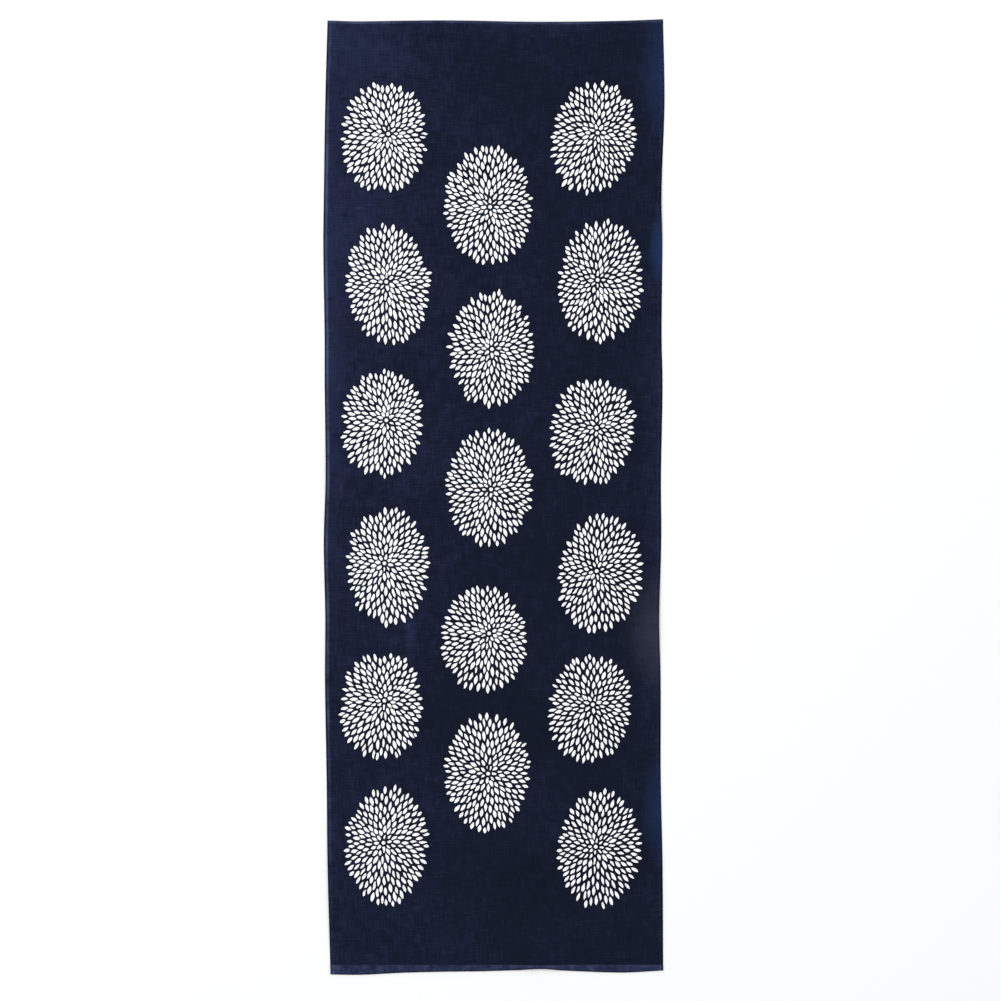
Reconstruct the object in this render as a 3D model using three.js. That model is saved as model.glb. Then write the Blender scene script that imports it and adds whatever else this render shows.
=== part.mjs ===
// A hand towel of thin plain-woven cotton, as it lies spread out on a flat surface.
// It is one length of narrow cloth: both long sides are selvedges, the top end is cut straight,
// and the bottom end is turned up once on the front as a narrow hem.
// Millimetres, +Z up. +Y runs along the towel to its top end, and +X to its right-hand selvedge.
// The origin is under the middle of the towel, on the surface that it lies on.

import * as THREE from 'three';
import { mergeVertices } from 'three/addons/utils/BufferGeometryUtils.js';

// Driving dimensions
const CLOTH_WIDTH = 350;
const CLOTH_LENGTH = 990;
const SHEET_THICKNESS = 1;
const HEM_THICKNESS = 1.6;
const HEM_DEPTH = 8.2;
const HEM_EDGE_RUN = 0.3;

// Cells of the sheet across and along the cloth; two of the rows are the hem and its upper edge.
const COLUMNS = 21;
const FIELD_ROWS = 56;
const HEM_ROWS = 2;

// How far each selvedge lies outside the straight side, at heights along the towel.
const SELVEDGES = [
  { along: -495, left: -4.9, right: 1.2 },
  { along: -378, left: -1.8, right: 0.5 },
  { along: -295, left: -0.9, right: -1.3 },
  { along: -190, left: 0.8, right: -1.5 },
  { along: -128, left: 0.5, right: -3.0 },
  { along: -45, left: 2.1, right: -0.8 },
  { along: 17, left: 0.2, right: -1.1 },
  { along: 121, left: 1.2, right: 0.5 },
  { along: 163, left: 1.2, right: -0.4 },
  { along: 267, left: 2.6, right: 0.3 },
  { along: 309, left: 2.1, right: -0.7 },
  { along: 413, left: 0.5, right: 2.6 },
  { along: 495, left: -1.8, right: 1.1 },
];

// How far each end lies outside the straight end, at places across the towel.
const ENDS = [
  { across: -175, top: 1.0, bottom: 1.9 },
  { across: -145, top: 0.2, bottom: 2.3 },
  { across: -98, top: 0.8, bottom: 0.1 },
  { across: -56, top: 1.2, bottom: -0.9 },
  { across: -14, top: 0.7, bottom: -1.4 },
  { across: 20, top: -0.2, bottom: -2.6 },
  { across: 48, top: -0.5, bottom: -4.1 },
  { across: 69, top: -0.3, bottom: -2.4 },
  { across: 100, top: 0.1, bottom: -0.8 },
  { across: 135, top: 0.8, bottom: -0.1 },
  { across: 175, top: 2.4, bottom: -2.2 },
];

// Low swells, where the cloth draws in at its rim and doesn't lie quite flat.
// Each has its middle, how far it reaches to each side, and how high it rises.
const SWELLS = [
  { across: 48, along: -480, reachAcross: 42, reachAlong: 100, rise: 2.4 },
  { across: -168, along: -400, reachAcross: 44, reachAlong: 95, rise: 1.4 },
  { across: -166, along: -160, reachAcross: 38, reachAlong: 60, rise: 1.0 },
  { across: 168, along: -128, reachAcross: 46, reachAlong: 85, rise: 2.0 },
  { across: -166, along: 28, reachAcross: 42, reachAlong: 75, rise: 1.6 },
  { across: 170, along: 300, reachAcross: 40, reachAlong: 75, rise: 1.5 },
  { across: 40, along: 484, reachAcross: 56, reachAlong: 60, rise: 1.2 },
];

// A smooth line through one column of a table, read at a place along or across the cloth.
function smoothLine(table, placeName, valueName) {
  const places = table.map((row) => row[placeName]);
  const values = table.map((row) => row[valueName]);
  const line = new THREE.CubicInterpolant(places, values, 1, new Float64Array(1));
  return (place) => line.evaluate(place)[0];
}

const leftOutside = smoothLine(SELVEDGES, 'along', 'left');
const rightOutside = smoothLine(SELVEDGES, 'along', 'right');
const topOutside = smoothLine(ENDS, 'across', 'top');
const bottomOutside = smoothLine(ENDS, 'across', 'bottom');

// A rounded hump: 1 at its middle, 0 from its reach outwards.
function hump(distance, reach) {
  const share = Math.min(Math.abs(distance) / reach, 1);
  return 0.5 * (1 + Math.cos(Math.PI * share));
}

// How high the cloth's underside is above the surface.
function lift(across, along) {
  return SWELLS.reduce((height, swell) => {
    const side = hump(across - swell.across, swell.reachAcross);
    const length = hump(along - swell.along, swell.reachAlong);
    return height + swell.rise * side * length;
  }, 0);
}

// Where a corner of the grid of cells lies: row 0 is the bottom fold, row 1 the top of the hem's
// edge, row 2 the foot of that edge, and the rows above it are spaced evenly to the top end.
function placeOnCloth(column, row) {
  const shareAcross = column / COLUMNS;
  const across = THREE.MathUtils.lerp(-CLOTH_WIDTH / 2, CLOTH_WIDTH / 2, shareAcross);
  const bottom = -CLOTH_LENGTH / 2 - bottomOutside(across);
  const top = CLOTH_LENGTH / 2 + topOutside(across);
  const hemEdge = -CLOTH_LENGTH / 2 + HEM_DEPTH;
  const upField = Math.max(row - HEM_ROWS, 0) / FIELD_ROWS;
  let along = THREE.MathUtils.lerp(hemEdge, top, upField);
  if (row === 1) {
    along = hemEdge - HEM_EDGE_RUN;
  }
  if (row === 0) {
    along = bottom;
  }
  const left = -CLOTH_WIDTH / 2 - leftOutside(along);
  const right = CLOTH_WIDTH / 2 + rightOutside(along);
  return { across: THREE.MathUtils.lerp(left, right, shareAcross), along };
}

// The sheet starts as a box of one-unit cells, one cell thick, and each corner goes to its place.
function sheetGeometry() {
  const rows = FIELD_ROWS + HEM_ROWS;
  const cells = new THREE.BoxGeometry(COLUMNS, rows, 1, COLUMNS, rows, 1);
  cells.deleteAttribute('normal');
  cells.deleteAttribute('uv');
  const sheet = mergeVertices(cells);
  const corners = sheet.attributes.position;
  for (let i = 0; i < corners.count; i += 1) {
    const column = Math.round(corners.getX(i) + COLUMNS / 2);
    const row = Math.round(corners.getY(i) + rows / 2);
    const isFront = corners.getZ(i) > 0;
    const { across, along } = placeOnCloth(column, row);
    const thickness = row < HEM_ROWS ? HEM_THICKNESS : SHEET_THICKNESS;
    const height = lift(across, along) + (isFront ? thickness : 0);
    corners.setXYZ(i, across, along, height);
  }
  return sheet;
}

// The box of the wavy outline is centred on the origin.
function centreOverOrigin(geometry) {
  geometry.computeBoundingBox();
  const middle = geometry.boundingBox.getCenter(new THREE.Vector3());
  geometry.translate(-middle.x, -middle.y, -geometry.boundingBox.min.z);
  geometry.computeVertexNormals();
  return geometry;
}

function makeTowel() {
  const indigoCotton = new THREE.MeshStandardMaterial({
    color: 0x1a1f35,
    roughness: 0.9,
    metalness: 0,
  });
  const towel = new THREE.Mesh(centreOverOrigin(sheetGeometry()), indigoCotton);
  towel.name = 'towel';
  return towel;
}

const model = new THREE.Group();
model.add(makeTowel());

export default model;
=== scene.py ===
# %% [markdown]
# A tenugui is a long, narrow hand towel of thin plain-woven cotton. This one lies spread out flat. Its
# ground is dyed deep indigo, and seventeen flowers of small petals are left white. Both long sides are
# selvedges, the top end is cut, and the bottom end is turned up once on the front as a narrow hem.
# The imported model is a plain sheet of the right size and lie. It is loaded first and never changed, and
# the fine cloth is laid exactly over it.

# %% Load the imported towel
import math
import random

import bmesh
import bpy
import numpy as np
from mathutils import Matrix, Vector, kdtree, noise


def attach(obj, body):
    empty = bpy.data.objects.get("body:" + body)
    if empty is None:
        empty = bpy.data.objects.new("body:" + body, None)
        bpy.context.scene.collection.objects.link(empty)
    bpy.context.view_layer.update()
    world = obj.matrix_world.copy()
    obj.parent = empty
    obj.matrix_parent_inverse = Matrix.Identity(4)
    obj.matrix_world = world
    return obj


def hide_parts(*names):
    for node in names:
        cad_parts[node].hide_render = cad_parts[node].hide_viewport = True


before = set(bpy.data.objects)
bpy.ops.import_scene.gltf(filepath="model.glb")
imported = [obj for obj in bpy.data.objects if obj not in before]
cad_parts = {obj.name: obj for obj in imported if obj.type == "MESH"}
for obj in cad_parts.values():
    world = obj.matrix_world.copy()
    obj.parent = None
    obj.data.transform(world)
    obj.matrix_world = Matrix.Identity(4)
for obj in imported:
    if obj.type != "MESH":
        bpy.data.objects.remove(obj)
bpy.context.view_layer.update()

# %% [markdown]
# Real sizes come next, in millimetres, because cloth is easier to think about that way. Towels of this
# kind are loom-width cotton, about 350 mm wide, cut off 1 m long. The real cloth is under half a
# millimetre thick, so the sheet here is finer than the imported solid. A square of 3 mm is small enough
# for the soft swells, and keeps the whole mesh light.

# %% The cloth's sizes
MM = 0.001
CLOTH_WIDTH = 350.0
CLOTH_LENGTH = 990.0
CLOTH_THICKNESS = 0.4
HEM_DEPTH = 8.2
HEM_AIR = 0.3
SQUARE = 3.0
HEM_EDGE = -CLOTH_LENGTH / 2 + HEM_DEPTH

# %% [markdown]
# No cloth lies quite straight. The four sides wander by a few millimetres, as the photo shows, and each
# table below holds only the places where a side turns. A smooth line runs through each column: at every
# row it slopes as the rows on both sides of it do, so there are no corners.

# %% How the four sides wander
# How far each selvedge lies outside the straight side, at heights along the towel.
SELVEDGES = [
    {"along": -495, "left": -4.9, "right": 1.2},
    {"along": -378, "left": -1.8, "right": 0.5},
    {"along": -295, "left": -0.9, "right": -1.3},
    {"along": -190, "left": 0.8, "right": -1.5},
    {"along": -128, "left": 0.5, "right": -3.0},
    {"along": -45, "left": 2.1, "right": -0.8},
    {"along": 17, "left": 0.2, "right": -1.1},
    {"along": 121, "left": 1.2, "right": 0.5},
    {"along": 163, "left": 1.2, "right": -0.4},
    {"along": 267, "left": 2.6, "right": 0.3},
    {"along": 309, "left": 2.1, "right": -0.7},
    {"along": 413, "left": 0.5, "right": 2.6},
    {"along": 495, "left": -1.8, "right": 1.1},
]

# How far each end lies outside the straight end, at places across the towel.
ENDS = [
    {"across": -175, "top": 1.0, "bottom": 1.9},
    {"across": -145, "top": 0.2, "bottom": 2.3},
    {"across": -98, "top": 0.8, "bottom": 0.1},
    {"across": -56, "top": 1.2, "bottom": -0.9},
    {"across": -14, "top": 0.7, "bottom": -1.4},
    {"across": 20, "top": -0.2, "bottom": -2.6},
    {"across": 48, "top": -0.5, "bottom": -4.1},
    {"across": 69, "top": -0.3, "bottom": -2.4},
    {"across": 100, "top": 0.1, "bottom": -0.8},
    {"across": 135, "top": 0.8, "bottom": -0.1},
    {"across": 175, "top": 2.4, "bottom": -2.2},
]


def smooth_line(table, place_name, value_name):
    """A function that reads a smooth line through one column of a table."""
    places = np.array([row[place_name] for row in table], float)
    values = np.array([row[value_name] for row in table], float)
    steps = np.diff(places)
    between = np.diff(values) / steps
    slopes = np.concatenate([between[:1], (between[1:] + between[:-1]) / 2, between[-1:]])

    def read(place):
        place = min(max(place, places[0]), places[-1])
        i = min(int(np.searchsorted(places, place, side="right")) - 1, len(steps) - 1)
        share = (place - places[i]) / steps[i]
        value = (1 + 2 * share) * (1 - share) ** 2 * values[i]
        value += share ** 2 * (3 - 2 * share) * values[i + 1]
        value += share * (1 - share) ** 2 * steps[i] * slopes[i]
        value += share ** 2 * (share - 1) * steps[i] * slopes[i + 1]
        return float(value)

    return read


left_outside = smooth_line(SELVEDGES, "along", "left")
right_outside = smooth_line(SELVEDGES, "along", "right")
top_outside = smooth_line(ENDS, "across", "top")
bottom_outside = smooth_line(ENDS, "across", "bottom")
print("Left side at the bottom:", round(left_outside(-CLOTH_LENGTH / 2), 2), "mm outside")

# %% [markdown]
# Where the rim draws in, the cloth has a little too much length and lifts off the floor in a low swell.
# Each swell is a rounded hump with its own middle, reach and rise. On top of them the whole cloth gets
# the faint waviness of washed cotton, a quarter of a millimetre high, which only a low light shows.

# %% How high the cloth lies
SWELLS = [
    {"across": 48, "along": -480, "reach_across": 42, "reach_along": 100, "rise": 2.4},
    {"across": -168, "along": -400, "reach_across": 44, "reach_along": 95, "rise": 1.4},
    {"across": -166, "along": -160, "reach_across": 38, "reach_along": 60, "rise": 1.0},
    {"across": 168, "along": -128, "reach_across": 46, "reach_along": 85, "rise": 2.0},
    {"across": -166, "along": 28, "reach_across": 42, "reach_along": 75, "rise": 1.6},
    {"across": 170, "along": 300, "reach_across": 40, "reach_along": 75, "rise": 1.5},
    {"across": 40, "along": 484, "reach_across": 56, "reach_along": 60, "rise": 1.2},
]
WAVINESS = 0.25
WAVE_LENGTH = 55.0


def hump(distance, reach):
    """1 in the middle of a swell, 0 from its reach outwards, rounded between."""
    return 0.5 * (1 + math.cos(math.pi * min(abs(distance) / reach, 1)))


def lift(across, along):
    """How high the underside of the cloth is above the floor."""
    height = WAVINESS * 0.5 * (1 + noise.noise(Vector((across, along, 0)) / WAVE_LENGTH))
    for swell in SWELLS:
        side = hump(across - swell["across"], swell["reach_across"])
        length = hump(along - swell["along"], swell["reach_along"])
        height += swell["rise"] * side * length
    return height


print("Height of the largest swell:", round(lift(48, -480), 2), "mm")

# %% [markdown]
# The cloth starts as a flat grid. create_grid makes it 2 units wide and long, so halving a corner's place
# gives its share of the way across and along. Each corner remembers its place on the unwrinkled cloth in
# a layer called flat, and then moves to where it lies. Weave, selvedges and dye will read that layer, so
# they follow the threads. This surface is the front of the cloth, and its thickness comes later. The
# grid stops where the fold of the hem begins, and the edges of its bottom row are kept for that.

# %% Lay out the cloth
HALF_WIDTH = CLOTH_WIDTH / 2
HALF_LENGTH = CLOTH_LENGTH / 2
FOLD_RADIUS = HEM_AIR / 2
FOLD_REACH = CLOTH_THICKNESS + FOLD_RADIUS
GRID_BOTTOM = -0.9999

columns = round(CLOTH_WIDTH / SQUARE)
rows = round(CLOTH_LENGTH / SQUARE)
cloth = bmesh.new()
bmesh.ops.create_grid(cloth, x_segments=columns, y_segments=rows, size=1.0)
flat_layer = cloth.verts.layers.float_vector.new("flat")
fold_line = [edge for edge in cloth.edges if all(corner.co.y < GRID_BOTTOM for corner in edge.verts)]


def place_across(flat_across, along):
    """Where a lengthwise thread lies across the floor, at a height along the towel."""
    share = (flat_across + HALF_WIDTH) / CLOTH_WIDTH
    left = -HALF_WIDTH - left_outside(along)
    right = HALF_WIDTH + right_outside(along)
    return left + share * (right - left)


def fold_middle(flat_across):
    """Where the middle of the fold's round turn lies along the towel."""
    return -HALF_LENGTH - bottom_outside(flat_across) + FOLD_REACH


for corner in cloth.verts:
    flat_across = corner.co.x * HALF_WIDTH
    share_along = (corner.co.y + 1) / 2
    bottom = fold_middle(flat_across)
    top = HALF_LENGTH + top_outside(flat_across)
    along = bottom + share_along * (top - bottom)
    across = place_across(flat_across, along)
    corner[flat_layer] = (flat_across, corner.co.y * HALF_LENGTH, 0)
    corner.co = (across, along, lift(across, along) + CLOTH_THICKNESS)
print("Squares across and along:", columns, rows, "and", len(fold_line), "edges on the fold")

# %% [markdown]
# The hem is part of the same cloth. Its fold edges are extruded row by row: first round a half turn, so
# tight that only a hair of air stays inside, and then back up over the front to one straight line. The
# seamster creased it along that line, which is why its upper edge is straighter than the fold itself.

# %% Turn up the hem
FOLD_TURNS = [45, 90, 135, 180]
HEM_ROWS = 3
FOLD_ARC = math.pi * FOLD_RADIUS
LOOKS_DOWN = -0.5


def next_row(edges):
    """Extrudes a row of edges and returns the new edges and corners."""
    grown = bmesh.ops.extrude_edge_only(cloth, edges=edges)["geom"]
    corners = {part for part in grown if isinstance(part, bmesh.types.BMVert)}
    new_edges = [part for part in grown if isinstance(part, bmesh.types.BMEdge)]
    return [edge for edge in new_edges if set(edge.verts) <= corners], corners


row_edges = fold_line
for turn in FOLD_TURNS:
    row_edges, corners = next_row(row_edges)
    for corner in corners:
        flat_across = corner[flat_layer].x
        along = fold_middle(flat_across) - FOLD_RADIUS * math.sin(math.radians(turn))
        across = place_across(flat_across, along)
        height = CLOTH_THICKNESS + FOLD_RADIUS * (1 - math.cos(math.radians(turn)))
        corner[flat_layer] = (flat_across, -HALF_LENGTH - FOLD_ARC * turn / 180, 0)
        corner.co = (across, along, lift(across, along) + height)

for step in range(1, HEM_ROWS + 1):
    row_edges, corners = next_row(row_edges)
    for corner in corners:
        flat_across = corner[flat_layer].x
        start = fold_middle(flat_across)
        along = start + (HEM_EDGE - start) * step / HEM_ROWS
        across = place_across(flat_across, along)
        corner[flat_layer] = (flat_across, -HALF_LENGTH - FOLD_ARC - (along - start), 0)
        corner.co = (across, along, lift(across, along) + CLOTH_THICKNESS + HEM_AIR)

cloth.normal_update()
turned_over = [face for face in cloth.faces if face.normal.z < LOOKS_DOWN]
print("Faces of the turned end that look down onto the front:", len(turned_over))

# %% [markdown]
# Three more things belong to the mesh itself. One is a UV map for anyone who wants the dye as a picture:
# the cloth is nearly three times as long as it is wide, so the map holds it as two halves side by side.
# Then the wavy outline is centred on the origin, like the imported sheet. Last comes the unit: everything
# so far is in millimetres, and Blender counts in metres.

# %% Map the cloth, turn it to metres and make the object
MAP_LENGTH = 512.0
MAP_RIM = 0.004

bake_map = cloth.loops.layers.uv.new("OFBake")
for face in cloth.faces:
    middle = sum(loop.vert[flat_layer].y for loop in face.loops) / len(face.loops)
    upper = middle > 0
    for loop in face.loops:
        place = loop.vert[flat_layer]
        share = (place.x + HALF_WIDTH) / CLOTH_WIDTH
        u = MAP_RIM + share * (0.5 - 2 * MAP_RIM) + (0.5 if upper else 0)
        v = place.y / MAP_LENGTH + (MAP_RIM if upper else 1 - MAP_RIM)
        loop[bake_map].uv = (u, v)

lows = [min(corner.co[axis] for corner in cloth.verts) for axis in (0, 1)]
highs = [max(corner.co[axis] for corner in cloth.verts) for axis in (0, 1)]
centre = Vector(((lows[0] + highs[0]) / 2, (lows[1] + highs[1]) / 2, 0))
bmesh.ops.translate(cloth, vec=-centre, verts=cloth.verts)
bmesh.ops.scale(cloth, vec=(MM, MM, MM), verts=cloth.verts)
for face in cloth.faces:
    face.smooth = True

mesh = bpy.data.meshes.new("towel_cloth")
cloth.to_mesh(mesh)
cloth.free()
towel = bpy.data.objects.new("towel_cloth", mesh)
bpy.context.scene.collection.objects.link(towel)
print("Centre moved by", [round(value, 3) for value in centre], "mm")

# %% [markdown]
# Now the pattern. The flower is a common one, a chrysanthemum seen from above: a round eye with many
# small petals packed round it. Seventeen stand in three columns, the middle one set half a step lower.
# Each row below holds a flower's eye, how far it reaches to its four sides, how much it leans, and how
# full its oval is: 2 is an ellipse and more is squarer. The row's number seeds the flower's petals,
# because a stencil is cut by hand and no two come out the same.

# %% Where the flowers stand
FLOWERS = [
    {"across": -110, "along": 378, "left": 50, "right": 41, "up": 54, "down": 62, "lean": -2, "full": 2.2},
    {"across": -112, "along": 224, "left": 43, "right": 46, "up": 62, "down": 67, "lean": 5, "full": 1.9},
    {"across": -112, "along": 80, "left": 48, "right": 40, "up": 52, "down": 60, "lean": -5, "full": 2.2},
    {"across": -114, "along": -69, "left": 41, "right": 48, "up": 60, "down": 66, "lean": 0, "full": 2.0},
    {"across": -114, "along": -212, "left": 47, "right": 40, "up": 51, "down": 62, "lean": -2, "full": 2.3},
    {"across": -115, "along": -360, "left": 41, "right": 48, "up": 60, "down": 66, "lean": -2, "full": 2.0},
    {"across": -4, "along": 302, "left": 48, "right": 44, "up": 65, "down": 61, "lean": 2, "full": 2.1},
    {"across": -2, "along": 154, "left": 47, "right": 45, "up": 63, "down": 62, "lean": 0, "full": 1.9},
    {"across": -3, "along": 8, "left": 48, "right": 44, "up": 64, "down": 61, "lean": 0, "full": 2.0},
    {"across": -5, "along": -142, "left": 51, "right": 40, "up": 51, "down": 63, "lean": 0, "full": 2.0},
    {"across": -6, "along": -288, "left": 46, "right": 44, "up": 64, "down": 62, "lean": 0, "full": 2.0},
    {"across": 108, "along": 379, "left": 49, "right": 40, "up": 56, "down": 66, "lean": -13, "full": 2.1},
    {"across": 108, "along": 226, "left": 42, "right": 49, "up": 64, "down": 67, "lean": -3, "full": 2.0},
    {"across": 107, "along": 72, "left": 49, "right": 40, "up": 52, "down": 61, "lean": -8, "full": 2.3},
    {"across": 107, "along": -77, "left": 41, "right": 49, "up": 61, "down": 67, "lean": -8, "full": 2.0},
    {"across": 103, "along": -216, "left": 47, "right": 40, "up": 53, "down": 62, "lean": -9, "full": 2.2},
    {"across": 106, "along": -364, "left": 41, "right": 49, "up": 61, "down": 67, "lean": -4, "full": 1.9},
]
print("Flowers:", len(FLOWERS))

# %% [markdown]
# How does a stencil cutter fill a flower with petals? From the eye outwards, each new petal nestles into
# the lowest gap that the ones before it left. The code does the same. It keeps a front, which is how far
# out the petals reach along each of 720 rays. It finds where the front is lowest for its share of the
# way to the flower's outline. It sets a petal there and pushes the front out by an oval round it. So the
# petals stand in rings that follow the outline. They are longer where the flower is, and shorter near
# the eye. One that would stick out a little is cut short, and one that would stick out far is left out.
# Small random shifts keep it alive.

# %% Lay the petals of one flower
RAYS = 720
LONGEST_REACH = 90
REACH_STEP = 0.25
RIM_INSET = 0.2
FIRST_RING = 6.1
FIRST_RING_WAVE = 0.3
WAVES_ROUND_EYE = 3
PETAL_SPACING = 4.4
PETAL_STRETCH = 2.25
LONGER_WITH_REACH = 0.65
HALF_LENGTH_SHARE = 1.12
HALF_WIDTH_SHARE = 0.5
INNER_SIZE = 1.06
INNER_LENGTH = 0.6
INNER_REACH = 16.0
SPACING_JITTER = 0.06
PLACE_JITTER = 0.4
RIM_JITTER = 1.1
MOST_CUT_OFF = 0.27
LEAST_STEP = 0.05
LAST_SHARE = 1.1


def outline_reach(flower, rays):
    """How far it is from a flower's eye to its outline along each ray, in mm."""
    half_wide = (flower["left"] + flower["right"]) / 2 - RIM_INSET
    half_high = (flower["up"] + flower["down"]) / 2 - RIM_INSET
    distances = np.arange(0, LONGEST_REACH, REACH_STEP)[:, None]
    across = distances * np.cos(rays) - (flower["right"] - flower["left"]) / 2
    along = distances * np.sin(rays) - (flower["up"] - flower["down"]) / 2
    lean = math.radians(flower["lean"])
    sideways = across * math.cos(lean) + along * math.sin(lean)
    upwards = along * math.cos(lean) - across * math.sin(lean)
    fullness = flower["full"]
    outwards = abs(sideways / half_wide) ** fullness + abs(upwards / half_high) ** fullness
    return (outwards < 1).sum(axis=0) * REACH_STEP


def lay_petals(flower, seed):
    """The petals of a flower: across, along, direction, half length, half width, in mm and radians."""
    draw = random.Random(seed)
    rays = np.linspace(0, 2 * math.pi, RAYS, endpoint=False)
    reach = outline_reach(flower, rays)
    wave = np.cos(WAVES_ROUND_EYE * rays + draw.random() * 2 * math.pi)
    front = FIRST_RING + FIRST_RING_WAVE * wave
    petals = []
    while (front / reach).min() < LAST_SHARE:
        lowest = int(np.argmin(front / reach))
        out = front[lowest]
        grown = min(1, out / INNER_REACH)
        size = INNER_SIZE + (1 - INNER_SIZE) * grown
        spacing = PETAL_SPACING * size * (1 + SPACING_JITTER * draw.gauss(0, 1))
        distance = out + abs(draw.gauss(0, PLACE_JITTER))
        angle = rays[lowest] + draw.gauss(0, PLACE_JITTER) / distance
        longer = (reach[lowest] / reach.mean()) ** LONGER_WITH_REACH
        longer *= INNER_LENGTH + (1 - INNER_LENGTH) * grown

        half_length = spacing * HALF_LENGTH_SHARE * longer
        sticks_out = distance + half_length - reach[lowest] - abs(draw.gauss(0, RIM_JITTER))
        if sticks_out < MOST_CUT_OFF * 2 * half_length:
            cut = max(sticks_out, 0) / 2
            across = (distance - cut) * math.cos(angle)
            along = (distance - cut) * math.sin(angle)
            petals.append((across, along, angle, half_length - cut, spacing * HALF_WIDTH_SHARE))

        apart = (rays - angle + math.pi) % (2 * math.pi) - math.pi
        squash = (PETAL_STRETCH * longer) ** -2
        a = np.sin(apart) ** 2 + squash * np.cos(apart) ** 2
        b = -2 * squash * distance * np.cos(apart)
        c = squash * distance ** 2 - spacing ** 2
        inside = b * b - 4 * a * c
        reached = (inside > 0) & (abs(apart) < math.pi / 2)
        far_side = (-b + np.sqrt(np.maximum(inside, 0))) / (2 * a)
        front = np.maximum(front, np.where(reached, far_side, 0))
        front[lowest] = max(front[lowest], out + LEAST_STEP)
    return petals


petals_by_flower = [lay_petals(flower, number) for number, flower in enumerate(FLOWERS)]
print("Petals in each flower:", [len(petals) for petals in petals_by_flower])

# %% [markdown]
# Each petal is described by one number that the renderer can work out anywhere on it. Call s the place
# along the petal and t the place across it, counted in half lengths and half widths. Then 1 minus s²
# minus |t| to the power 1.15 is 1 in the middle, 0 on a pointed outline, and less than 0 outside. Both s
# and t change evenly over the cloth, so a square's four corners can hold them and Blender fills in the
# rest. A finder picks out the squares near each petal, and s and t are worked out at their corners.

# %% Measure the squares near each petal
SIZE_JITTER = 0.05
TURN_JITTER = 0.05
JITTER_SEED = 5
PETAL_REACH = 12.0

drawn = random.Random(JITTER_SEED)
petals = []
for flower, laid in zip(FLOWERS, petals_by_flower):
    for across, along, direction, half_length, half_width in laid:
        petals.append((
            across + flower["across"] - centre.x,
            along + flower["along"] - centre.y,
            direction + TURN_JITTER * drawn.gauss(0, 1),
            half_length * (1 + SIZE_JITTER * drawn.gauss(0, 1)),
            half_width * (1 + SIZE_JITTER * drawn.gauss(0, 1)),
        ))
petals = np.array(petals)

corner_numbers = np.zeros(len(mesh.loops), int)
mesh.loops.foreach_get("vertex_index", corner_numbers)
places = np.zeros(3 * len(mesh.vertices))
mesh.vertices.foreach_get("co", places)
squares = places.reshape(-1, 3)[corner_numbers].reshape(-1, 4, 3)[:, :, :2] / MM
finder = kdtree.KDTree(len(squares))
for number, middle in enumerate(squares.mean(axis=1)):
    finder.insert((*middle, 0), number)
finder.balance()

pairs = np.array([
    (petal_number, square_number)
    for petal_number, petal in enumerate(petals)
    for _, square_number, _ in finder.find_range((petal[0], petal[1], 0), PETAL_REACH)
])
near_petals = petals[pairs[:, 0]]
offsets = squares[pairs[:, 1]] - near_petals[:, None, :2]
cosine = np.cos(near_petals[:, 2:3])
sine = np.sin(near_petals[:, 2:3])
lengthwise = (offsets[:, :, 0] * cosine + offsets[:, :, 1] * sine) / near_petals[:, 3:4]
crosswise = (offsets[:, :, 1] * cosine - offsets[:, :, 0] * sine) / near_petals[:, 4:5]
print("Petals:", len(petals), "with", len(pairs), "squares near them")

# %% [markdown]
# Most of those squares only lie close to the petal. Nine points of each, written as shares of its four
# corners, say how deep the petal reaches into it. The deepest petals of a square fill its layers first,
# and eight layers are enough for all that show. What stays empty holds a place far outside any petal.
# The eyes are told in the same way, counted in their own radius.

# %% Give each square its petals and its eye
PETAL_LAYERS = 8
SIDE_POWER = 1.15
EYE_RADIUS = 1.9
LOWEST_VALUE = -0.8
FAR_AWAY = 9.0

steps = [0, 0.5, 1]
shares = np.array([((1 - x) * (1 - y), x * (1 - y), x * y, (1 - x) * y) for x in steps for y in steps])
value = 1 - (lengthwise @ shares.T) ** 2 - abs(crosswise @ shares.T) ** SIDE_POWER
deepest = value.max(axis=1)

kept = np.flatnonzero(deepest > LOWEST_VALUE)
kept = kept[np.lexsort((-deepest[kept], pairs[kept, 1]))]
square_of = pairs[kept, 1]
first_of = np.searchsorted(square_of, square_of)
layer_of = np.arange(len(kept)) - first_of
print("Most petals near one square:", int(layer_of.max()) + 1)

layers = np.full((PETAL_LAYERS, len(squares), 4, 3), (FAR_AWAY, FAR_AWAY, 0), np.float32)
fits = layer_of < PETAL_LAYERS
layers[layer_of[fits], square_of[fits], :, 0] = lengthwise[kept[fits]]
layers[layer_of[fits], square_of[fits], :, 1] = crosswise[kept[fits]]
for number in range(PETAL_LAYERS):
    attribute = mesh.attributes.new(f"petal_{number}", "FLOAT_VECTOR", "CORNER")
    attribute.data.foreach_set("vector", layers[number].ravel())

eyes = np.full((len(squares), 4, 3), (FAR_AWAY, FAR_AWAY, 0), np.float32)
for flower in FLOWERS:
    eye = np.array((flower["across"] - centre.x, flower["along"] - centre.y))
    near = [number for _, number, _ in finder.find_range((*eye, 0), PETAL_REACH)]
    eyes[near, :, :2] = (squares[near] - eye) / EYE_RADIUS
mesh.attributes.new("eye", "FLOAT_VECTOR", "CORNER").data.foreach_set("vector", eyes.ravel())

# %% [markdown]
# The sheet has no thickness yet. The Solidify modifier gives it the real cloth's 0.4 mm, away from the
# front, so the fold of the hem grows outwards and the underside rests on the floor. The edge of each
# side is marked sharp first, so that the cut rim stays crisp in close-up.

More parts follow.
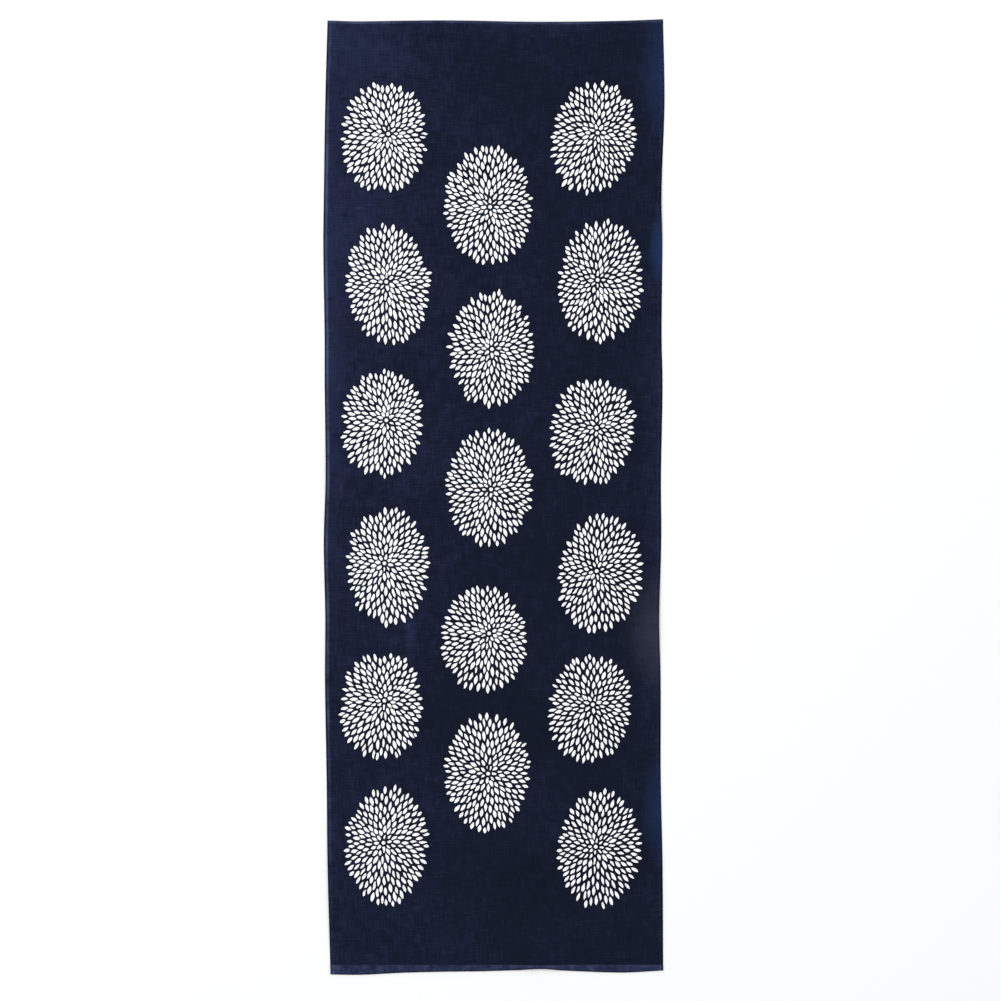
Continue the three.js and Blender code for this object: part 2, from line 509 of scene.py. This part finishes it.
# %% Give the cloth its thickness
reopened = bmesh.new()
reopened.from_mesh(mesh)
for edge in reopened.edges:
    edge.smooth = not edge.is_boundary
reopened.to_mesh(mesh)
reopened.free()
thickness = towel.modifiers.new("thickness", "SOLIDIFY")
thickness.thickness = CLOTH_THICKNESS * MM
thickness.offset = -1
thickness.use_even_offset = True
print("Faces before its thickness:", len(mesh.polygons))

# %% [markdown]
# Every material below is a small tree of nodes, and one helper adds them all. It takes the kind of node,
# what feeds its inputs, and its settings. An input may be a number, a colour, a node or one socket of a
# node. Colours are written as in a paint program, in sRGB hex, and turned to linear light for Blender.

# %% Two helpers for materials
def linear(hex_colour):
    """An sRGB hex colour as the linear red, green, blue and alpha that Blender works with."""
    channels = [int(hex_colour[start:start + 2], 16) / 255 for start in (1, 3, 5)]
    return [c / 12.92 if c <= 0.04045 else ((c + 0.055) / 1.055) ** 2.4 for c in channels] + [1]


def add_node(tree, kind, inputs, **settings):
    """Adds a node, sets it up, and links or fills its inputs, given by number or name."""
    node = tree.nodes.new(kind)
    for name, setting in settings.items():
        setattr(node, name, setting)
    for place, feed in inputs.items():
        if isinstance(feed, bpy.types.Node):
            feed = feed.outputs[0]
        if isinstance(feed, bpy.types.NodeSocket):
            tree.links.new(feed, node.inputs[place])
        else:
            node.inputs[place].default_value = feed
    return node


print("Undyed cotton in linear light:", [round(c, 3) for c in linear("#f8f8f8")])

# %% [markdown]
# The towel is plain-woven cotton dyed through a stencil: paste covers the petals, indigo is poured over
# the stack of cloth and drawn through it, and the paste is washed out. So the colour is in the thread on
# both sides, deep and quite matt, and the white is the bare cotton itself. The tree starts with the
# petals: it reads the layers one by one and keeps the two largest petal values at each point. Both
# start low, for ground that no petal reaches.

# %% Start the cotton with its petals
cotton = bpy.data.materials.new("stencil_dyed_indigo_cotton")
cotton.use_nodes = True
tree = cotton.node_tree
tree.nodes.clear()
flat = add_node(tree, "ShaderNodeAttribute", {}, attribute_name="flat").outputs["Vector"]

largest = -FAR_AWAY
second = LOWEST_VALUE
for number in range(PETAL_LAYERS):
    place = add_node(tree, "ShaderNodeAttribute", {}, attribute_name=f"petal_{number}").outputs["Vector"]
    part = add_node(tree, "ShaderNodeSeparateXYZ", {0: place})
    squared = add_node(tree, "ShaderNodeMath", {0: part.outputs["X"], 1: 2.0}, operation="POWER")
    aside = add_node(tree, "ShaderNodeMath", {0: part.outputs["Y"]}, operation="ABSOLUTE")
    rounded = add_node(tree, "ShaderNodeMath", {0: aside, 1: SIDE_POWER}, operation="POWER")
    both = add_node(tree, "ShaderNodeMath", {0: squared, 1: rounded}, operation="ADD")
    petal = add_node(tree, "ShaderNodeMath", {0: 1.0, 1: both}, operation="SUBTRACT")
    smaller = add_node(tree, "ShaderNodeMath", {0: largest, 1: petal}, operation="MINIMUM")
    second = add_node(tree, "ShaderNodeMath", {0: second, 1: smaller}, operation="MAXIMUM")
    largest = add_node(tree, "ShaderNodeMath", {0: largest, 1: petal}, operation="MAXIMUM")
print("Nodes that read the petals:", len(tree.nodes))

# %% [markdown]
# Where the two largest values are close, two petals meet, and there the paste had a thin gap that the
# dye ran into. The gaps are uneven, and a little wider round the eyes and towards the lower right. Dye
# creeps a little under the paste at each petal's outline as well. The round eye stays clear of the
# petals, and every outline wobbles slightly, as paste does when it soaks into the yarns.

# %% Part the petals with dye
GAP = 0.95
GAP_UNEVENNESS = 1.05
GAP_PATCH = 9.0
WIDER_PER_MM_RIGHT = 0.001
WIDER_PER_MM_DOWN = 0.0003
WIDEST_GAP = 1.2
WIDER_ROUND_EYE = 0.35
ROUND_EYE_REACH = 9.0
DYE_CREEP = 0.26
EYE_RING = 4.1
OUTLINE_WOBBLE = 0.12
WOBBLE_SIZE = 1.6
DYE_EDGE = 0.03
NOISE_LOW = 0.2
NOISE_HIGH = 0.8

patchy = add_node(tree, "ShaderNodeTexNoise", {"Vector": flat, "Scale": 1 / GAP_PATCH, "Detail": 1.0})
typical_gap = add_node(tree, "ShaderNodeMapRange", {
    "Value": patchy, "From Min": NOISE_LOW, "From Max": NOISE_HIGH,
    "To Min": GAP * (1 - GAP_UNEVENNESS), "To Max": GAP * (1 + GAP_UNEVENNESS)})
wider = add_node(tree, "ShaderNodeVectorMath", {0: flat, 1: (WIDER_PER_MM_RIGHT, -WIDER_PER_MM_DOWN, 0)},
                 operation="DOT_PRODUCT").outputs["Value"]
widened = add_node(tree, "ShaderNodeMath", {0: typical_gap, 1: wider}, operation="ADD")
limited = add_node(tree, "ShaderNodeMath", {0: widened, 1: WIDEST_GAP}, operation="MINIMUM")
eye_place = add_node(tree, "ShaderNodeAttribute", {}, attribute_name="eye").outputs["Vector"]
eye_distance = add_node(tree, "ShaderNodeVectorMath", {0: eye_place}, operation="LENGTH").outputs["Value"]
round_eye = add_node(tree, "ShaderNodeMapRange", {
    "Value": eye_distance, "From Min": ROUND_EYE_REACH / EYE_RADIUS, "From Max": 1.0,
    "To Min": 0.0, "To Max": WIDER_ROUND_EYE})
gap = add_node(tree, "ShaderNodeMath", {0: limited, 1: round_eye}, operation="ADD")
clear_of_next = add_node(tree, "ShaderNodeMath", {0: largest, 1: second}, operation="SUBTRACT")
past_gap = add_node(tree, "ShaderNodeMath", {0: clear_of_next, 1: gap}, operation="SUBTRACT")
past_creep = add_node(tree, "ShaderNodeMath", {0: largest, 1: DYE_CREEP}, operation="SUBTRACT")
petals_only = add_node(tree, "ShaderNodeMath", {0: past_creep, 1: past_gap}, operation="MINIMUM")

eye = add_node(tree, "ShaderNodeMath", {0: 1.0, 1: eye_distance}, operation="SUBTRACT")
past_ring = add_node(tree, "ShaderNodeMath", {0: eye_distance, 1: EYE_RING / EYE_RADIUS},
                     operation="SUBTRACT")
cleared = add_node(tree, "ShaderNodeMath", {0: petals_only, 1: past_ring}, operation="MINIMUM")
covered = add_node(tree, "ShaderNodeMath", {0: cleared, 1: eye}, operation="MAXIMUM")
wobble = add_node(tree, "ShaderNodeTexNoise", {"Vector": flat, "Scale": 1 / WOBBLE_SIZE, "Detail": 1.0})
shift = add_node(tree, "ShaderNodeMath", {0: wobble, 1: OUTLINE_WOBBLE, 2: -OUTLINE_WOBBLE / 2},
                 operation="MULTIPLY_ADD")
uneven = add_node(tree, "ShaderNodeMath", {0: covered, 1: shift}, operation="ADD")
undyed = add_node(tree, "ShaderNodeMapRange", {
    "Value": uneven, "From Min": -DYE_EDGE, "From Max": DYE_EDGE, "To Min": 0.0, "To Max": 1.0},
    interpolation_type="SMOOTHSTEP")
print("Nodes that draw the petals:", len(tree.nodes))

# %% [markdown]
# Indigo never takes quite evenly. One number says how pale the cloth is drawn, and a colour ramp will
# turn it into a tone. It grows towards the upper left as painted light, falling from the soft light that
# stands there, and it drifts in broad clouds and small patches. Close to a petal the dye gathers against
# the paste, and is a little deeper. A table of soft spots says where the cloth is drawn paler, mostly
# along the sides, and where the dye took more deeply: there the number is below 0. Three of the pale
# spots, on the right side, are painted glints.

# %% Let the dye vary over the cloth, with painted light towards the upper left
PALENESS = 0.365
# Painted light: the cloth is drawn paler towards the upper left, where the soft light stands.
PAINTED_LIGHT_PER_MM_LEFT = 0.00032
PAINTED_LIGHT_PER_MM_UP = 0.00002
CLOUD_SIZE = 80.0
CLOUD_STRENGTH = 0.3
PATCH_SIZE = 11.0
PATCH_STRENGTH = 0.32
BESIDE_PETALS = 0.9
DEEPER_BESIDE_PETALS = 0.3
PALE_SPOTS_AND_GLINTS = [
    {"across": -150, "along": 475, "reach_across": 75, "reach_along": 95, "paler": 0.15},
    {"across": -150, "along": 280, "reach_across": 80, "reach_along": 190, "paler": 0.08},
    {"across": 60, "along": 430, "reach_across": 90, "reach_along": 80, "paler": -0.07},
    # The spots at 450, 262 and -331 along the right side are painted glints.
    {"across": 174, "along": 450, "reach_across": 26, "reach_along": 85, "paler": 0.16},
    {"across": 174, "along": 262, "reach_across": 18, "reach_along": 45, "paler": 0.14},
    {"across": 168, "along": -146, "reach_across": 26, "reach_along": 54, "paler": 0.36},
    {"across": 172, "along": -331, "reach_across": 18, "reach_along": 60, "paler": 0.08},
    {"across": 0, "along": -420, "reach_across": 120, "reach_along": 120, "paler": -0.08},
    {"across": -86, "along": -140, "reach_across": 9, "reach_along": 28, "paler": 0.22},
    {"across": -172, "along": 150, "reach_across": 22, "reach_along": 330, "paler": 0.14},
    {"across": 174, "along": 0, "reach_across": 28, "reach_along": 520, "paler": 0.15},
    {"across": 60, "along": -60, "reach_across": 120, "reach_along": 80, "paler": -0.08},
    {"across": 0, "along": -240, "reach_across": 190, "reach_along": 90, "paler": -0.09},
    {"across": -130, "along": -508, "reach_across": 110, "reach_along": 22, "paler": -0.2},
    {"across": 130, "along": -508, "reach_across": 110, "reach_along": 22, "paler": 0.08},
    {"across": 80, "along": 498, "reach_across": 130, "reach_along": 24, "paler": 0.14},
]

# The painted light, paler towards the upper left.
slope = add_node(tree, "ShaderNodeVectorMath", {0: flat, 1: (-PAINTED_LIGHT_PER_MM_LEFT, PAINTED_LIGHT_PER_MM_UP, 0)},
                 operation="DOT_PRODUCT").outputs["Value"]
clouds = add_node(tree, "ShaderNodeTexNoise", {
    "Vector": flat, "Scale": 1 / CLOUD_SIZE, "Detail": 3.0, "Roughness": 0.6})
cloudy = add_node(tree, "ShaderNodeMath", {
    0: clouds, 1: CLOUD_STRENGTH, 2: PALENESS - CLOUD_STRENGTH / 2}, operation="MULTIPLY_ADD")
paleness = add_node(tree, "ShaderNodeMath", {0: slope, 1: cloudy}, operation="ADD")
patches = add_node(tree, "ShaderNodeTexNoise", {
    "Vector": flat, "Scale": 1 / PATCH_SIZE, "Detail": 3.0, "Roughness": 0.55})
off_middle = add_node(tree, "ShaderNodeMath", {0: patches, 1: 0.5}, operation="SUBTRACT")
paleness = add_node(tree, "ShaderNodeMath", {0: off_middle, 1: PATCH_STRENGTH, 2: paleness},
                    operation="MULTIPLY_ADD")
gathered = add_node(tree, "ShaderNodeMapRange", {
    "Value": uneven, "From Min": -BESIDE_PETALS, "From Max": 0.0,
    "To Min": 0.0, "To Max": -DEEPER_BESIDE_PETALS})
paleness = add_node(tree, "ShaderNodeMath", {0: paleness, 1: gathered}, operation="ADD")


def fade_round(spot):
    """1 in the middle of a spot, fading to 0 at its reach to each side."""
    scale = (1 / spot["reach_across"], 1 / spot["reach_along"], 0)
    shift = (-spot["across"] * scale[0], -spot["along"] * scale[1], 0)
    around = add_node(tree, "ShaderNodeVectorMath", {0: flat, 1: scale, 2: shift},
                      operation="MULTIPLY_ADD")
    fade = add_node(tree, "ShaderNodeTexGradient", {"Vector": around}, gradient_type="SPHERICAL")
    return fade.outputs["Fac"]


for spot in PALE_SPOTS_AND_GLINTS:
    paleness = add_node(tree, "ShaderNodeMath", {0: fade_round(spot), 1: spot["paler"], 2: paleness},
                        operation="MULTIPLY_ADD")
print("Nodes with the dye's variation:", len(tree.nodes))

# %% [markdown]
# At its edges the cloth looks different. The weft turns back at a selvedge, so the outermost threads are
# packed and dye dark, and a painted shade along the rim of each side makes them almost black. The slack
# threads next to them take less dye: a fine paler line runs just inside each side. It is faint on the
# right, and on the left it is strong along the middle, fades towards both ends, and comes and goes. The cut
# end is pale right at its edge, where the threads are loose, and less so towards the right. The turned hem
# shows its reverse and is drawn paler and more uneven, and a painted shade darkens the crease of its fold.

# %% Draw the selvedges, the cut end and the hem
PALE_LINE = 2.9
PALE_LINE_WIDTH = 2.3
STRONG_STRETCH = {"across": -172, "along": 60, "reach_across": 60, "reach_along": 480}
STRONG_FROM = 0.4
STRONG_LINE = 0.5
FAINT_LINE = 0.12
# Widths and strength of the painted shade along the rims of the sides and in the crease of the hem.
LEFT_RIM = 1.3
RIGHT_RIM = 2.3
CREASE = 1.5
RIM_PAINTED_SHADE = -0.6
END_LINE = 1.6
END_LINE_WIDTH = 1.7
END_LINE_LEFT = 0.65
END_LINE_RIGHT = 0.35
BREAK_LENGTH = 34.0
BREAK_NOISE = {"low": 0.3, "high": 0.65}
BREAK_STRENGTH = {"low": 0.45, "high": 1.25}
HEM_PALER = 0.38
HEM_UNEVENNESS = 0.5

place = add_node(tree, "ShaderNodeSeparateXYZ", {0: flat})
from_middle = add_node(tree, "ShaderNodeMath", {0: place.outputs["X"]}, operation="ABSOLUTE")
side_strength = add_node(tree, "ShaderNodeMapRange", {
    "Value": fade_round(STRONG_STRETCH), "From Min": 0.0, "From Max": STRONG_FROM,
    "To Min": FAINT_LINE, "To Max": STRONG_LINE})
comes_and_goes = add_node(tree, "ShaderNodeTexNoise", {
    "Vector": flat, "Scale": 1 / BREAK_LENGTH, "Detail": 3.0, "Roughness": 0.6})
showing = add_node(tree, "ShaderNodeMapRange", {
    "Value": comes_and_goes, "From Min": BREAK_NOISE["low"], "From Max": BREAK_NOISE["high"],
    "To Min": BREAK_STRENGTH["low"], "To Max": BREAK_STRENGTH["high"]})
pale_side = add_node(tree, "ShaderNodeMath", {0: side_strength, 1: showing}, operation="MULTIPLY")
end_strength = add_node(tree, "ShaderNodeMapRange", {
    "Value": place.outputs["X"], "From Min": -HALF_WIDTH, "From Max": HALF_WIDTH,
    "To Min": END_LINE_LEFT, "To Max": END_LINE_RIGHT})
pale_end = add_node(tree, "ShaderNodeMath", {0: showing, 1: end_strength}, operation="MULTIPLY")
# The two rims and the crease get painted shade; the pale line and the cut end are the cloth's own.
edge_lines_and_shade = [
    {"place": place.outputs["X"], "at": -HALF_WIDTH, "width": LEFT_RIM, "paler": RIM_PAINTED_SHADE},
    {"place": place.outputs["X"], "at": HALF_WIDTH, "width": RIGHT_RIM, "paler": RIM_PAINTED_SHADE},
    {"place": from_middle, "at": HALF_WIDTH - PALE_LINE, "width": PALE_LINE_WIDTH, "paler": pale_side},
    {"place": place.outputs["Y"], "at": HALF_LENGTH - END_LINE, "width": END_LINE_WIDTH, "paler": pale_end},
    {"place": place.outputs["Y"], "at": -HALF_LENGTH, "width": CREASE, "paler": RIM_PAINTED_SHADE},
]
for line in edge_lines_and_shade:
    beside = add_node(tree, "ShaderNodeMath", {0: line["place"], 1: line["at"]}, operation="SUBTRACT")
    away = add_node(tree, "ShaderNodeMath", {0: beside}, operation="ABSOLUTE")
    shown = add_node(tree, "ShaderNodeMapRange", {
        "Value": away, "From Min": line["width"], "From Max": 0.0}, interpolation_type="SMOOTHSTEP")
    paleness = add_node(tree, "ShaderNodeMath", {0: shown, 1: line["paler"], 2: paleness},
                        operation="MULTIPLY_ADD")
turned = add_node(tree, "ShaderNodeMath", {0: place.outputs["Y"], 1: -HALF_LENGTH},
                  operation="LESS_THAN")
hem_tone = add_node(tree, "ShaderNodeMath", {0: off_middle, 1: HEM_UNEVENNESS, 2: HEM_PALER},
                    operation="MULTIPLY_ADD")
paleness = add_node(tree, "ShaderNodeMath", {0: turned, 1: hem_tone, 2: paleness},
                    operation="MULTIPLY_ADD")
print("Lines along the edges:", len(edge_lines_and_shade))

# %% [markdown]
# Seen close, the cloth is a plain weave of hand-spun-looking yarn, thick and thin by turns. The real
# yarns lie 0.4 mm apart, which is too fine to show here, so they are drawn 1.2 mm apart. Streaks of
# noise, long along one set of yarns and short across it, make each set uneven and vary the dye a little.
# A product of two sines gives the over and under, and with the streaks it will raise the surface.

# %% Weave the yarns
YARN_PITCH = 1.2
SLUB_LENGTH = 18.0
YARN_TONE = 0.4
OVER_UNDER_SHARE = 0.35

streaks = []
for stretch in ((1 / YARN_PITCH, 1 / SLUB_LENGTH, 0), (1 / SLUB_LENGTH, 1 / YARN_PITCH, 0)):
    along_yarn = add_node(tree, "ShaderNodeVectorMath", {0: flat, 1: stretch}, operation="MULTIPLY")
    streaks.append(add_node(tree, "ShaderNodeTexNoise", {
        "Vector": along_yarn, "Scale": 1.0, "Detail": 2.0}))
yarns = add_node(tree, "ShaderNodeMath", {0: streaks[0], 1: streaks[1]}, operation="ADD")
waves = []
for axis in ("X", "Y"):
    turns = add_node(tree, "ShaderNodeMath", {0: place.outputs[axis], 1: math.pi / YARN_PITCH},
                     operation="MULTIPLY")
    waves.append(add_node(tree, "ShaderNodeMath", {0: turns}, operation="SINE"))
over_under = add_node(tree, "ShaderNodeMath", {0: waves[0], 1: waves[1]}, operation="MULTIPLY")
relief = add_node(tree, "ShaderNodeMath", {0: over_under, 1: OVER_UNDER_SHARE, 2: yarns},
                  operation="MULTIPLY_ADD")
uneven_yarn = add_node(tree, "ShaderNodeMath", {0: yarns, 1: 1.0}, operation="SUBTRACT")
paleness = add_node(tree, "ShaderNodeMath", {0: uneven_yarn, 1: YARN_TONE, 2: paleness},
                    operation="MULTIPLY_ADD")
print("Yarns across the cloth as drawn:", round(CLOTH_WIDTH / YARN_PITCH))

# %% [markdown]
# A row of machine stitches holds the hem. The thread is blue as well, so at arm's length nobody sees it,
# but close up each stitch is a small dent with a slightly paler thread lying in it, and a needle hole at
# each end, darkened with painted shade. The row keeps to the hem's straight upper edge, so it reads the
# place on the object and not the place on the flat cloth. A sine along the row makes the stitches: it is
# near its lowest in a hole. The dents join the weave's relief, and all of it becomes a bump of a tenth of
# a millimetre.

# %% Stitch the hem
STITCH_INSET = 1.8
STITCH_LENGTH = 2.6
STITCH_WIDTH = 0.45
STITCH_DEPTH = 1.4
THREAD_PALER = 0.14
# Painted shade in the needle holes.
HOLE_PAINTED_SHADE = -0.4
HOLE_BELOW = -0.9
THREAD_ABOVE = -0.4
YARN_RELIEF = 0.12
BUMP_STRENGTH = 0.6

lying = add_node(tree, "ShaderNodeSeparateXYZ", {
    0: add_node(tree, "ShaderNodeTexCoord", {}).outputs["Object"]})
stitch_row = (HEM_EDGE - STITCH_INSET - centre.y) * MM
off_row = add_node(tree, "ShaderNodeMath", {0: lying.outputs["Y"], 1: stitch_row}, operation="SUBTRACT")
from_row = add_node(tree, "ShaderNodeMath", {0: off_row}, operation="ABSOLUTE")
in_row = add_node(tree, "ShaderNodeMapRange", {
    "Value": from_row, "From Min": STITCH_WIDTH * MM, "From Max": 0.0}, interpolation_type="SMOOTHSTEP")
stitch_turns = add_node(tree, "ShaderNodeMath", {
    0: lying.outputs["X"], 1: 2 * math.pi / (STITCH_LENGTH * MM)}, operation="MULTIPLY")
stitch_wave = add_node(tree, "ShaderNodeMath", {0: stitch_turns}, operation="SINE")
in_stitch = add_node(tree, "ShaderNodeMapRange", {
    "Value": stitch_wave, "From Min": HOLE_BELOW, "From Max": THREAD_ABOVE},
    interpolation_type="SMOOTHSTEP")
stitched = add_node(tree, "ShaderNodeMath", {0: in_row, 1: in_stitch}, operation="MULTIPLY")
dented = add_node(tree, "ShaderNodeMath", {0: stitched, 1: -STITCH_DEPTH, 2: relief},
                  operation="MULTIPLY_ADD")
# The paler thread in each stitch, and painted shade in its needle holes.
thread_and_hole_shade = add_node(tree, "ShaderNodeMapRange", {
    "Value": in_stitch, "To Min": HOLE_PAINTED_SHADE, "To Max": THREAD_PALER})
paleness = add_node(tree, "ShaderNodeMath", {0: in_row, 1: thread_and_hole_shade, 2: paleness},
                    operation="MULTIPLY_ADD")
bump = add_node(tree, "ShaderNodeBump", {
    "Height": dented, "Strength": BUMP_STRENGTH, "Distance": YARN_RELIEF * MM})
print("Stitches in the row:", round(CLOTH_WIDTH / STITCH_LENGTH))

# %% [markdown]
# The ramp turns paleness into indigo, from nearly black to the faded blue of a selvedge. A few spots at
# the right side have another hue: greyer where it lifts off the floor, and at three places a clearer blue
# that is a painted glint. The petals are laid over it in bare cotton, with painted shade on its thin
# yarns, which come out a little greyer than its thick ones. Cotton is matt, so roughness is 0.9. Its
# fibres hardly gloss, so the specular level stays low, and a trace of sheen stands for the fuzz that
# catches light from the side.

# %% Finish the cotton
DYE_TONES = [
    {"paleness": 0.0, "colour": "#080c15"},
    {"paleness": 0.35, "colour": "#111729"},
    {"paleness": 0.6, "colour": "#1f2640"},
    {"paleness": 0.8, "colour": "#2d3550"},
    {"paleness": 1.0, "colour": "#3f4868"},
]
HUE_SPOTS_AND_GLINTS = [
    {"across": 172, "along": -142, "reach_across": 34, "reach_along": 70, "share": 0.75, "hue": "#2b2b2f"},
    # The next three spots are painted blue glints along the right side.
    {"across": 174, "along": 440, "reach_across": 26, "reach_along": 75, "share": 0.75, "hue": "#17294b"},
    {"across": 176, "along": 255, "reach_across": 16, "reach_along": 42, "share": 0.9, "hue": "#1b3158"},
    {"across": 176, "along": -330, "reach_across": 24, "reach_along": 62, "share": 0.8, "hue": "#17294b"},
]
BARE_COTTON = "#fbfbfc"
# Painted shade: the thin yarns of the bare cotton are drawn greyer.
THIN_YARN_SHADE = "#dcdfe6"
THIN_BELOW = 0.75
THICK_ABOVE = 1.05

ramp = add_node(tree, "ShaderNodeValToRGB", {"Fac": paleness})
stops = ramp.color_ramp.elements
while len(stops) < len(DYE_TONES):
    stops.new(0.5)
for stop, tone in zip(stops, DYE_TONES):
    stop.position = tone["paleness"]
    stop.color = linear(tone["colour"])
indigo = ramp.outputs["Color"]
# Three of these spots mix painted blue glints into the ground.
for spot in HUE_SPOTS_AND_GLINTS:
    strength = add_node(tree, "ShaderNodeMath", {0: fade_round(spot), 1: spot["share"]},
                        operation="MULTIPLY")
    indigo = add_node(tree, "ShaderNodeMix", {
        "Factor": strength, 6: indigo, 7: linear(spot["hue"])}, data_type="RGBA").outputs[2]
# Bare cotton, with painted shade on its thin yarns.
thick = add_node(tree, "ShaderNodeMapRange", {
    "Value": yarns, "From Min": THIN_BELOW, "From Max": THICK_ABOVE})
white = add_node(tree, "ShaderNodeMix", {
    "Factor": thick, 6: linear(THIN_YARN_SHADE), 7: linear(BARE_COTTON)}, data_type="RGBA")
colour = add_node(tree, "ShaderNodeMix", {
    "Factor": undyed, 6: indigo, 7: white.outputs[2]}, data_type="RGBA")
surface = add_node(tree, "ShaderNodeBsdfPrincipled", {
    "Base Color": colour.outputs[2], "Roughness": 0.9, "Specular IOR Level": 0.07,
    "Sheen Weight": 0.025, "Sheen Roughness": 0.5, "Normal": bump})
add_node(tree, "ShaderNodeOutputMaterial", {"Surface": surface})
mesh.materials.append(cotton)
print("Nodes in the cotton:", len(tree.nodes))

# %% [markdown]
# The towel now takes its place in the object. It moves with the imported body and stands for the packed
# sheet.

# %% Join it to the imported towel
FLOOR_NAME = "floor"

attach(towel, "root")
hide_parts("towel")

# %% [markdown]
# The towel lies on a plain pale floor, matt like painted board, which sits just under it. A large soft
# light stands high towards the upper left, and the world lights everything evenly, so shadows are
# faint and white cotton comes out nearly white. The Standard view keeps the tones as they are made.

# %% Floor and light
FLOOR_SIZE = 16.0
FLOOR_DROP = 0.0002
SOFTBOX_SIZE = 2.6
SOFTBOX_POWER = 66.0
SOFTBOX_PLACE = (-1.0, 1.1, 3.4)
ROOM_BRIGHTNESS = 0.78

sheet = bmesh.new()
bmesh.ops.create_grid(sheet, x_segments=1, y_segments=1, size=FLOOR_SIZE / 2)
bmesh.ops.translate(sheet, vec=(0, 0, -FLOOR_DROP), verts=sheet.verts)
floor_mesh = bpy.data.meshes.new(FLOOR_NAME)
sheet.to_mesh(floor_mesh)
sheet.free()
floor = bpy.data.objects.new(FLOOR_NAME, floor_mesh)
bpy.context.scene.collection.objects.link(floor)

board = bpy.data.materials.new("matt_painted_board")
board.use_nodes = True
board.node_tree.nodes.clear()
paint = add_node(board.node_tree, "ShaderNodeBsdfPrincipled", {
    "Base Color": linear("#f4f4f3"), "Roughness": 0.95, "Specular IOR Level": 0.1})
add_node(board.node_tree, "ShaderNodeOutputMaterial", {"Surface": paint})
floor_mesh.materials.append(board)

softbox_data = bpy.data.lights.new("softbox", "AREA")
softbox_data.shape = "SQUARE"
softbox_data.size = SOFTBOX_SIZE
softbox_data.energy = SOFTBOX_POWER
softbox = bpy.data.objects.new("softbox", softbox_data)
softbox.location = SOFTBOX_PLACE
softbox.rotation_euler = (Vector((0, 0, 0)) - softbox.location).to_track_quat("-Z", "Y").to_euler()
bpy.context.scene.collection.objects.link(softbox)

world = bpy.data.worlds.new("even_room_light")
world.use_nodes = True
room = world.node_tree.nodes["Background"]
room.inputs["Color"].default_value = linear("#fbfcff")
room.inputs["Strength"].default_value = ROOM_BRIGHTNESS
bpy.context.scene.world = world
bpy.context.scene.view_settings.view_transform = "Standard"
print("Floor top at", -FLOOR_DROP, "m")

# %% [markdown]
# The photo looks straight down, and its whole picture is 1001 pixels wide. The towel is 336 of them
# wide where the real one is 350 mm, which gives the picture's width on the floor. A long lens set far
# enough away takes in just that width. The picture's middle is a little to the right of the towel's
# middle and a little below it, and so is the camera.

# %% Set up the camera
PICTURE_PIXELS = 1001
PIXELS_PER_MM = 0.9606
TOWEL_MIDDLE_PIXEL_X = 493.9
TOWEL_MIDDLE_PIXEL_Y = 496.8
LENS = 100.0

camera_data = bpy.data.cameras.new("camera")
camera_data.lens = LENS
picture_width = PICTURE_PIXELS / PIXELS_PER_MM
distance = picture_width * LENS / camera_data.sensor_width
camera = bpy.data.objects.new("camera", camera_data)
camera.location = Vector((
    (PICTURE_PIXELS / 2 - TOWEL_MIDDLE_PIXEL_X) / PIXELS_PER_MM,
    (TOWEL_MIDDLE_PIXEL_Y - PICTURE_PIXELS / 2) / PIXELS_PER_MM,
    distance + CLOTH_THICKNESS)) * MM
camera_data.clip_end = 100.0
bpy.context.scene.collection.objects.link(camera)
bpy.context.scene.camera = camera
print("Camera height:", round(camera.location.z, 3), "m")

# %% [markdown]
# Last, the scene is brought up to date.

# %% Finish
bpy.context.view_layer.update()
